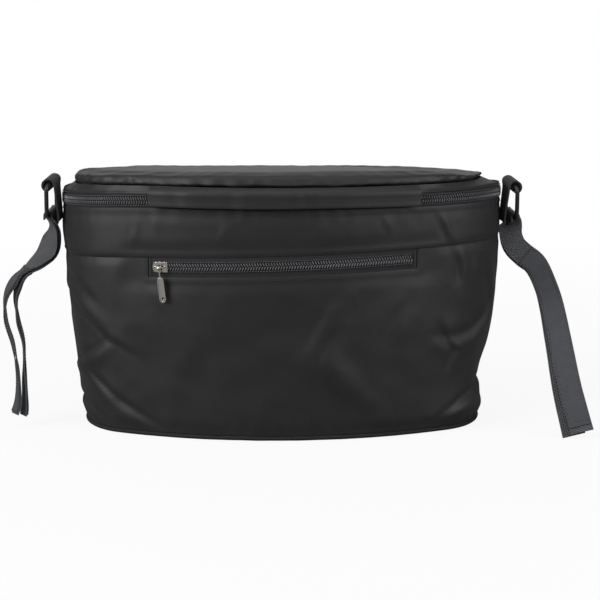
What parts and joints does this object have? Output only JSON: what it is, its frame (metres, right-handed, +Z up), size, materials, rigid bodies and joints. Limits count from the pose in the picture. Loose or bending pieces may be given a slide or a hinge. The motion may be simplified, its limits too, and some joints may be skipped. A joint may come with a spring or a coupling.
{
  "type": "stroller organizer bag",
  "caption": "Soft D-shaped zipped organizer bag with padded hinged lid, storm flap, zipped front pocket and side strap loops.",
  "frame": {"origin": "on the floor under the middle of the base", "axes": "+X to the bag's right seen from the front, -Y towards the front, +Z up"},
  "size_m": [0.4901, 0.1617, 0.2175],
  "materials": {
    "fabric": "matt woven polyester",
    "lining": "thin woven lining",
    "webbing": "woven polyester webbing and tape",
    "foam": "closed-cell padding",
    "coil": "nylon zip coil",
    "board": "stiff plastic board",
    "moulded": "moulded acetal",
    "nickel": "bright nickel plate"
  },
  "bodies": {
    "bag": {"base_panel": "fabric", "base_board": "board", "floor_lining": "lining", "bottom_piping": "fabric", "front_upper_panel": "fabric", "front_pocket_panel": "fabric", "back_panel": "fabric", "hinge_strip_lower": "webbing", "wall_foam": "foam", "wall_lining": "lining", "rim_binding": "lining", "pocket_lining": "lining", "pocket_zip_upper_tape": "webbing", "pocket_zip_lower_tape": "webbing", "pocket_zip_upper_coil": "coil", "pocket_zip_lower_coil": "coil", "pocket_end_bar_left": "fabric", "pocket_end_bar_right": "fabric", "main_zip_lower_tape": "webbing", "main_zip_lower_coil": "coil", "left_loop": "webbing", "right_loop": "webbing"},
    "lid": {"lid_gusset": "fabric", "lid_cover": "fabric", "lid_foam": "foam", "lid_lining": "lining", "storm_flap": "fabric", "main_zip_upper_tape": "webbing", "main_zip_upper_coil": "coil", "hinge_strip_upper": "webbing"},
    "pocket_zip_slider": {"pocket_slider": "nickel"},
    "pocket_zip_pull": {"pocket_pull": "nickel"},
    "main_zip_slider_left": {"main_slider_left": "nickel"},
    "main_zip_pull_left": {"main_pull_left": "nickel"},
    "main_zip_slider_right": {"main_slider_right": "nickel"},
    "main_zip_pull_right": {"main_pull_right": "nickel"},
    "left_ring_and_strap": {"left_ring": "moulded", "left_strap": "webbing", "left_strap_hook_tape": "webbing", "left_strap_loop_tape": "webbing"},
    "right_ring_and_strap": {"right_ring": "moulded", "right_strap": "webbing", "right_strap_hook_tape": "webbing", "right_strap_loop_tape": "webbing"}
  },
  "joints": [
    {"name": "lid_hinge", "type": "hinge", "parent": "bag", "child": "lid", "pos_m": [0, 0.077, 0.1959], "axis": [-1, 0, 0], "range_deg": [0, 100]},
    {"name": "pocket_slider_travel", "type": "hinge", "parent": "bag", "child": "pocket_zip_slider", "pos_m": [0, 0.231, 0.1455], "axis": [-0.0279, 0, 0.9996], "range_deg": [0, 37]},
    {"name": "pocket_pull_swing", "type": "hinge", "parent": "pocket_zip_slider", "child": "pocket_zip_pull", "pos_m": [-0.10128, -0.06351, 0.1427], "axis": [-0.9453, 0.3251, -0.0264], "range_deg": [0, 160]},
    {"name": "main_slider_left_travel", "type": "hinge", "parent": "lid", "child": "main_zip_slider_left", "pos_m": [0, 0.231, 0.1959], "axis": [0, 0, -1], "range_deg": [0, 24]},
    {"name": "main_slider_right_travel", "type": "hinge", "parent": "lid", "child": "main_zip_slider_right", "pos_m": [0, 0.231, 0.1959], "axis": [0, 0, 1], "range_deg": [0, 24]},
    {"name": "main_pull_left_swing", "type": "hinge", "parent": "main_zip_slider_left", "child": "main_zip_pull_left", "pos_m": [-0.00937, -0.07946, 0.1959], "axis": [0, 0, 1], "range_deg": [0, 4]},
    {"name": "main_pull_right_swing", "type": "hinge", "parent": "main_zip_slider_right", "child": "main_zip_pull_right", "pos_m": [0.00937, -0.07946, 0.1959], "axis": [0, 0, -1], "range_deg": [0, 4]},
    {"name": "left_ring_swing", "type": "hinge", "parent": "bag", "child": "left_ring_and_strap", "pos_m": [-0.193, 0.008, 0.204], "axis": [0.2518, 0.9466, 0.2014], "range_deg": [0, 100]},
    {"name": "right_ring_swing", "type": "hinge", "parent": "bag", "child": "right_ring_and_strap", "pos_m": [0.193, 0.008, 0.201], "axis": [0.2518, -0.9466, -0.2014], "range_deg": [0, 100]}
  ]
}
